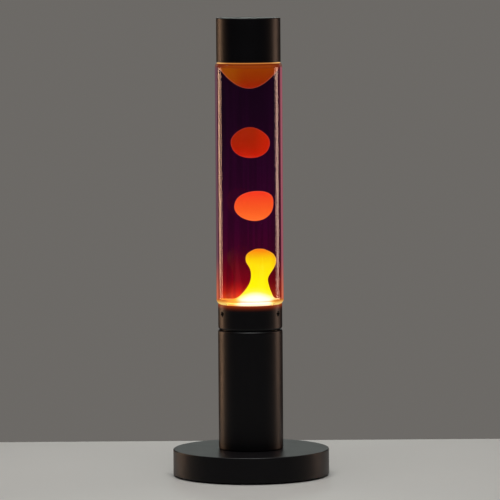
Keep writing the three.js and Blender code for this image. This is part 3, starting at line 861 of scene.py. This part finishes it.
def collar():
    bottom = low("collar").z
    ledge = low("seat_gasket").z
    bore = 24 * MM
    socket = 25.9 * MM
    section = [
        (bore, bottom),
        (COLLAR_R, bottom, SEAM_ROUND),
        (COLLAR_R, RIM_Z, 0.6 * MM),
        (socket, RIM_Z, 0.35 * MM),
        (socket, ledge),
        (bore, ledge),
    ]
    start, end = 20 * MM, 30 * MM
    thread = GRUB_R + 0.15 * MM
    countersink = GRUB_R + 0.75 * MM
    drill = [
        (0, start),
        (thread, start),
        (thread, COLLAR_R - 0.5 * MM),
        (countersink, COLLAR_R + 0.1 * MM),
        (countersink, end),
        (0, end),
    ]
    cutters = [out_of_collar(spun(drill, ROUND_SMALL, closed=False), angle) for angle in grub_angles()]
    mesh = spun(section, ROUND_WIDE)
    piece("collar_turned", mesh, BLACK_PAINTED_RIM_GLOW, "stand", ["collar"], cutters)


def grub_screws():
    face = COLLAR_R - 0.8 * MM
    back = 24 * MM
    section = [(0, back), (GRUB_R, back), (GRUB_R, face, 0.3 * MM), (0, face)]
    for i, angle in enumerate(grub_angles(), 1):
        mesh = out_of_collar(spun(section, ROUND_SMALL, closed=False), angle)
        hex_socket = out_of_collar(rod(1.15 * MM, face - 1.5 * MM, face + 1 * MM, 6), angle)
        name = f"grub_turned_{i}"
        piece(name, mesh, BLACK_STEEL, "stand", [f"grub_screw_{i}"], [hex_socket])


def sleeve_and_gasket():
    bottom, top = low("joiner_sleeve").z, high("joiner_sleeve").z
    step = high("column").z
    wall = 1 * MM
    wide = 24.7 * MM
    middle = wide - wall
    narrow = middle - wall
    section = [
        (middle, bottom),
        (wide, bottom),
        (wide, step),
        (middle, step),
        (middle, top, 0.3 * MM),
        (narrow, top, 0.3 * MM),
        (narrow, step - wall),
        (middle, step - wall),
    ]
    piece("sleeve_rolled", spun(section), STEEL, "stand", ["joiner_sleeve"])
    inner, outer = 24.2 * MM, high("seat_gasket").x
    under, over = low("seat_gasket").z, high("seat_gasket").z
    ring = [(inner, under), (outer, under), (outer, over, 0.5 * MM), (inner, over, 0.5 * MM)]
    piece("gasket_moulded", spun(ring), SILICONE, "stand", ["seat_gasket"])


column()
collar()
grub_screws()
sleeve_and_gasket()


# ---- Bulb ----


def bulb():
    """Blown glass: a neck that opens in a cone to a round-edged face."""
    top = high("bulb_glass").z
    wide = high("bulb_glass").x
    wall = 0.8 * MM
    neck = 5.6 * MM
    neck_low = top - 49.8 * MM
    neck_high = top - 44.6 * MM
    widest = top - 13 * MM
    edge = top - 4.5 * MM
    section = [
        (neck, neck_low),
        (neck, neck_high, 1.5 * MM),
        (10.5 * MM, top - 37.8 * MM, 2 * MM),
        (15.0 * MM, top - 29.8 * MM, 3 * MM),
        (18.6 * MM, top - 20 * MM, 3 * MM),
        (wide, widest, 1.5 * MM),
        (wide, edge, 3.5 * MM),
        (0, top),
        (0, top - wall),
        (wide - wall, edge - wall),
        (wide - wall, widest),
        (neck - wall, neck_high),
        (neck - wall, neck_low),
    ]
    piece("bulb_blown", spun(section, ROUND_MIDDLE), BULB, "bulb", ["bulb_glass"], sharp=60)


bulb()


# ---- Bottle ----


def glass_bottle():
    bottom = low("glass_bottle").z
    mouth = high("glass_bottle").z
    heel = 4 * MM
    inner = BOTTLE_R - GLASS_WALL
    foot_r = 22 * MM
    inner_foot = 19.6 * MM
    seat = RIM_Z - 0.2 * MM
    lip_r = 13.3 * MM
    bore = 8.5 * MM
    section = [
        (0, bottom + 4 * MM),
        (9 * MM, bottom + 3 * MM, 2 * MM),
        (17.4 * MM, bottom, 1 * MM),
        (foot_r, bottom, 3 * MM),
        (foot_r, RIM_Z - 1.2 * MM, 0.5 * MM),
        (23 * MM, seat),
        (BOTTLE_R, seat, heel),
        (BOTTLE_R, SHOULDER_Z, 3.4 * MM),
        (17.5 * MM, SHOULDER_Z + 0.6 * MM, 3 * MM),
        (13.2 * MM, SHOULDER_Z + 8 * MM, 3 * MM),
        (12.2 * MM, SHOULDER_Z + 16 * MM, 2 * MM),
        (lip_r, mouth - 4 * MM, 0.6 * MM),
        (lip_r, mouth - 1 * MM, 1.2 * MM),
        (11.6 * MM, mouth, 0.5 * MM),
        (bore, mouth, 0.8 * MM),
        (bore, SHOULDER_Z + 5 * MM, 2 * MM),
        (14 * MM, SHOULDER_Z - 1.4 * MM, 2 * MM),
        (inner, SHOULDER_Z - 1.8 * MM, 2.2 * MM),
        (inner, RIM_Z + 1.0 * MM, 2.8 * MM),
        (20.5 * MM, RIM_Z + 0.9 * MM, 0.6 * MM),
        (inner_foot, RIM_Z - 0.6 * MM),
        (inner_foot, bottom + 4.4 * MM, 2 * MM),
        (0, bottom + 7 * MM),
    ]
    mesh = spun(section, ROUND_WIDE, closed=False)
    piece("bottle_blown", mesh, GLASS, "bottle", ["glass_bottle"], sharp=60)


FLUTES = 21
STEPS_PER_FLUTE = 4
PINCH = 0.955  # how far a flute's hem is drawn in towards the neck


def crown():
    """The crown cap: a dished disc with pinched flutes round its skirt."""
    top = high("crown_cap").z
    bottom = low("crown_cap").z
    hem_r = high("crown_cap").x - 0.5 * MM
    wall = 0.3 * MM
    ceiling = top - wall * 1.6
    section = [
        (0, top),
        (12.9 * MM, top, 1.2 * MM),
        (14.6 * MM, top - 1.6 * MM, 0.6 * MM),
        (hem_r, bottom),
        (hem_r - wall, bottom),
        (14.2 * MM, top - 1.7 * MM),
        (12.7 * MM, ceiling),
        (0, ceiling),
    ]
    steps = FLUTES * STEPS_PER_FLUTE
    mesh = spun(section, steps, closed=False)
    hem = [vert for vert in mesh.verts if vert.co.z < bottom + 0.1 * MM]
    turns = {vert: round(math.atan2(vert.co.y, vert.co.x) / FULL_TURN * steps) for vert in hem}
    pinched = [vert for vert, turn in turns.items() if turn % STEPS_PER_FLUTE in (0, 1)]
    bmesh.ops.scale(mesh, vec=(PINCH, PINCH, 1), verts=pinched)
    made = piece("crown_pressed", mesh, STEEL, "bottle", ["crown_cap"], sharp=80, weighted=False)
    smooth(made)
    seal_r = 12.2 * MM
    seal = rod(seal_r, low("crown_seal").z, high("crown_seal").z, ROUND)
    piece("seal_moulded", seal, WHITE_PLASTIC, "bottle", ["crown_seal"])


def liquid():
    top = SHOULDER_Z - 1.9 * MM
    section = [
        (0, LIQUID_LOW),
        (LIQUID_R - 0.35 * MM, LIQUID_LOW, 0.2 * MM),
        (LIQUID_R, POOL_TOP + 2.2 * MM),
        (LIQUID_R, top, 2.3 * MM),
        (0, top),
    ]
    mesh = spun(section, ROUND_WIDE, closed=False)
    piece("liquid_fill", mesh, LIQUID, "bottle", ["liquid"], sharp=60)


def lofted(rings, segments):
    """A skin over level rings, each (height, x of its centre, radius), with both ends closed."""
    mesh = bmesh.new()
    height, x, radius = rings[0]
    made = bmesh.ops.create_circle(mesh, segments=segments, radius=radius, cap_ends=True)
    bmesh.ops.translate(mesh, vec=(x, 0, height), verts=made["verts"])
    edges = list(mesh.edges)
    for (z0, x0, r0), (z1, x1, r1) in zip(rings, rings[1:]):
        grown = bmesh.ops.extrude_edge_only(mesh, edges=edges)["geom"]
        verts = [v for v in grown if isinstance(v, bmesh.types.BMVert)]
        edges = [e for e in grown if isinstance(e, bmesh.types.BMEdge)]
        middle = Matrix.Translation((-x0, 0, 0))
        bmesh.ops.scale(mesh, vec=(r1 / r0, r1 / r0, 1), space=middle, verts=verts)
        bmesh.ops.translate(mesh, vec=(x1 - x0, 0, z1 - z0), verts=verts)
    bmesh.ops.contextual_create(mesh, geom=edges)
    bmesh.ops.recalc_face_normals(mesh, faces=mesh.faces)
    return mesh


def curved(keys, steps):
    """Points on one smooth curve through the keys."""
    keys = [Vector(key) for key in keys]
    ends = [keys[0], *keys, keys[-1]]
    points = []
    for before, start, end, after in zip(ends, ends[1:], ends[2:], ends[3:]):
        leave = start + (end - before) / 6
        arrive = end - (after - start) / 6
        points += interpolate_bezier(start, leave, arrive, end, steps)[:-1]
    return [*points, keys[-1]]


# The pool's section against the glass: (height above the rim, radius), in millimetres.
POOL = [(-6.4, 19.2), (0.1, 19.3), (1.1, 20.4), (1.3, 23.9), (1.7, 25.5), (2.4, 26.6), (3.0, 26.6)]

# The mound's features above the rim: (height, x of its centre, radius), in millimetres.
MOUND = [
    (3.2, 1, 20.5),  # where it leaves the pool
    (4.5, 3, 12.8),
    (9, 4.3, 9.4),  # the flare
    (16, 5.4, 6.5),
    (22.5, 6, 5.4),  # the neck
    (30, 7.6, 7.5),
    (36.5, 7.2, 9.8),  # the knob, at its widest
    (43, 6.4, 8.2),
    (47.2, 6, 2.4),  # its crown
]


def wax_mound():
    pool = [(RIM_Z + z * MM, 0, r * MM) for z, r in POOL]
    rise = [(RIM_Z + z * MM, x * MM, r * MM) for z, x, r in curved(MOUND, 4)]
    mesh = lofted(pool + rise, ROUND_SMALL)
    made = piece(
        "wax_pool_and_knob", mesh, WAX_MOUND, "bottle", ["wax_mound"], sharp=180, weighted=False
    )
    smooth(made)


DROP_STEPS = 30  # rings from a drop's middle to its pole
POLE_ANGLE = 87.5  # degrees: the last ring stops short of the pole, and is closed flat


def wax_drop(name, node, body, material, x, width, crown_swell, keel_swell, lean, bend):
    """A drop of wax: a squat ball, fuller at its crown or keel, whose axis leans and bends towards +X."""
    bottom, top = low(node).z, high(node).z
    rings = []
    for step in range(-DROP_STEPS, DROP_STEPS + 1):
        turn = math.radians(step / DROP_STEPS * POLE_ANGLE)
        rise = math.sin(turn)
        swell = 1 + (crown_swell if rise > 0 else keel_swell) * rise**2
        shift = width * (lean * rise + bend * rise**2)
        height = (bottom + top) / 2 + (top - bottom) / 2 * rise
        rings.append((height, middle_of(node).x + x + shift, width * swell * math.cos(turn)))
    piece(name, lofted(rings, 64), material, body, [node], sharp=180, weighted=False)


def wax_dome():
    """Wax gathered under the shoulder, whose underside hangs as a paraboloid."""
    bottom, top = low("wax_dome").z, high("wax_dome").z
    rim = 19.7 * MM
    depth = top - 0.6 * MM - bottom
    lid = top - 0.2 * MM
    off_centre = 0.4 * MM
    steps = 24
    section = [(rim * i / steps, bottom + depth * (i / steps) ** 2) for i in range(steps + 1)]
    section += [(rim - 0.4 * MM, lid), (0, lid)]
    skin = moved(spun(section, ROUND_MIDDLE, closed=False), (off_centre, 0, 0))
    piece("wax_under_shoulder", skin, WAX_DOME, "bottle", ["wax_dome"], sharp=60)


glass_bottle()
crown()
liquid()
wax_mound()
wax_drop(
    "wax_ball_upper", "wax_drop_upper", "upper_drop", WAX_UPPER,
    x=-0.3 * MM, width=12.2 * MM, crown_swell=-0.18, keel_swell=0.1, lean=-0.02, bend=0.0,
)
wax_drop(
    "wax_ball_lower", "wax_drop_lower", "lower_drop", WAX_LOWER,
    x=-0.35 * MM, width=12.2 * MM, crown_swell=0.24, keel_swell=0.02, lean=0.07, bend=0.12,
)
wax_dome()


# ---- Cap ----


def cap():
    top = high("cap_shell").z
    inside = CAP_R - 1.3 * MM
    ceiling = top - 1.5 * MM
    section = [
        (0, top),
        (CAP_R, top, 0.55 * MM),
        (CAP_R, CAP_BOTTOM, 0.25 * MM),
        (inside, CAP_BOTTOM, 0.25 * MM),
        (inside, ceiling, 0.5 * MM),
        (0, ceiling),
    ]
    mesh = spun(section, ROUND_WIDE, closed=False)
    piece("cap_spun", mesh, BLACK, "cap", ["cap_shell"])
    bottom, over = low("cap_locator").z, high("cap_locator").z
    flange = over - 1.5 * MM
    outer = inside - 0.3 * MM
    bore, boss = 17 * MM, 18.2 * MM
    ring = [
        (bore, bottom, 0.3 * MM),
        (boss, bottom, 0.3 * MM),
        (boss, flange),
        (outer, flange, 0.3 * MM),
        (outer, over),
        (bore, over),
    ]
    piece("locator_moulded", spun(ring), BLACK_PLASTIC, "cap", ["cap_locator"])


cap()


# ---- Pieces that keep their first shape ----

KEPT = {
    STEEL: [
        "foot_weight", "column_screw_1", "column_screw_2", "column_screw_3", "threaded_tube", "nut_lower",
        "nut_upper", "earth_tag", "earth_screw", "bulb_tip", "bulb_filament", "wire_coil",
    ],
    BRASS: ["holder_thread", "holder_contact", "bulb_cap"],
    CERAMIC: ["holder_core"],
    BLACK_PLASTIC: ["holder_base", "holder_sleeve", "bulb_insulator"],
    WHITE_PLASTIC: ["terminal_block"],
    SILICONE: ["bulb_stem"],
    moulded("brown_insulation", (0.1, 0.035, 0.015), 0.35): ["live_wire"],
    moulded("blue_insulation", (0.02, 0.07, 0.3), 0.35): ["neutral_wire"],
    moulded("green_insulation", (0.06, 0.25, 0.05), 0.35): ["earth_wire"],
}
for material, names in KEPT.items():
    for name in names:
        for slot in nodes[name].material_slots:
            slot.material = material


# ---- Floor, light and camera ----


FLOOR_SIZE = (3.2, 1.9, 1)
FLOOR_PLACE = (0, -0.72, 0)


def floor():
    mesh = bmesh.new()
    bmesh.ops.create_grid(mesh, x_segments=1, y_segments=1, size=0.5)
    bmesh.ops.scale(mesh, vec=FLOOR_SIZE, verts=mesh.verts)
    made = as_object("floor", moved(mesh, FLOOR_PLACE))
    shop = Shop("pale_floor")
    colour = shop.blend(shop.noise(0.2), (0.56, 0.55, 0.53), (0.6, 0.59, 0.57))
    made.data.materials.append(shop.finish(shop.principled(base_color=colour, roughness=0.5)))


def lamp_light(name, place, target, size, power, colour, gloss_only=False):
    """A soft rectangular light that faces its target."""
    data = bpy.data.lights.new(name, "AREA")
    data.shape = "RECTANGLE"
    data.size, data.size_y = size
    data.energy = power
    data.color = colour
    made = bpy.data.objects.new(name, data)
    bpy.context.scene.collection.objects.link(made)
    made.location = place
    made.rotation_euler = (Vector(target) - Vector(place)).to_track_quat("-Z", "Y").to_euler()
    made.visible_camera = False
    if gloss_only:
        made.visible_diffuse = False
        made.visible_transmission = False


def world():
    """Pale to look at, and dim to what it lights, as a studio's walls are beside its lamps."""
    made = bpy.data.worlds.new("studio")
    bpy.context.scene.world = made
    made.use_nodes = True
    tree = made.node_tree
    tree.nodes.clear()
    seen = tree.nodes.new("ShaderNodeBackground")
    seen.inputs[0].default_value = (0.15, 0.142, 0.132, 1)
    cast = tree.nodes.new("ShaderNodeBackground")
    cast.inputs[0].default_value = (0.02, 0.019, 0.022, 1)
    path = tree.nodes.new("ShaderNodeLightPath")
    mix = tree.nodes.new("ShaderNodeMixShader")
    out = tree.nodes.new("ShaderNodeOutputWorld")
    tree.links.new(path.outputs["Is Camera Ray"], mix.inputs[0])
    tree.links.new(cast.outputs[0], mix.inputs[1])
    tree.links.new(seen.outputs[0], mix.inputs[2])
    tree.links.new(mix.outputs[0], out.inputs[0])


floor()
world()
lamp_light(
    "overhead", place=(0, -0.25, 1.9), target=(0, 0, 0), size=(1.7, 1.7), power=34, colour=(1.0, 0.99, 0.96)
)
lamp_light(
    "edge_bar", place=(0, -0.35, 1.5), target=(0, 0, 0.1), size=(0.5, 0.3), power=11,
    colour=(0.94, 0.98, 1.0), gloss_only=True,
)
lamp_light(
    "back_wash", place=(0, 1.9, 0.56), target=(0, 0, 0.39), size=(0.7, 0.22), power=1.0,
    colour=(0.92, 1.0, 0.94), gloss_only=True,
)

STRIP_REACH = 1.25
STRIP_HEIGHT = 0.3
STRIP_TARGET = (0, 0, 0.2)
STRIP_SIZE = (0.27, 0.9)
# Each strip's name, bearing in degrees from straight behind the lamp, power and colour.
STRIPS = [("strip_left", -57, 5.6, (1.0, 0.6, 0.36)), ("strip_right", 67, 5.0, (1.0, 0.64, 0.46))]
for name, bearing, power, colour in STRIPS:
    angle = math.radians(bearing)
    place = (STRIP_REACH * math.sin(angle), STRIP_REACH * math.cos(angle), STRIP_HEIGHT)
    lamp_light(name, place, STRIP_TARGET, STRIP_SIZE, power, colour, gloss_only=True)

CAMERA_DISTANCE = 3.42
CAMERA_HEIGHT = 0.465
AIM = Vector((0.0002, 0, 0.1926))
FIELD = 0.4256  # what the picture spans at the lamp, in metres
ROLL = math.radians(-0.4)


def camera():
    data = bpy.data.cameras.new("camera")
    made = bpy.data.objects.new("camera", data)
    bpy.context.scene.collection.objects.link(made)
    place = Vector((AIM.x, -CAMERA_DISTANCE, CAMERA_HEIGHT))
    towards = AIM - place
    data.lens = data.sensor_width * towards.length / FIELD
    turn = towards.to_track_quat("-Z", "Y").to_matrix() @ Matrix.Rotation(ROLL, 3, "Z")
    made.matrix_world = Matrix.Translation(place) @ turn.to_4x4()
    bpy.context.scene.camera = made


camera()
bpy.context.scene.view_settings.view_transform = "Standard"
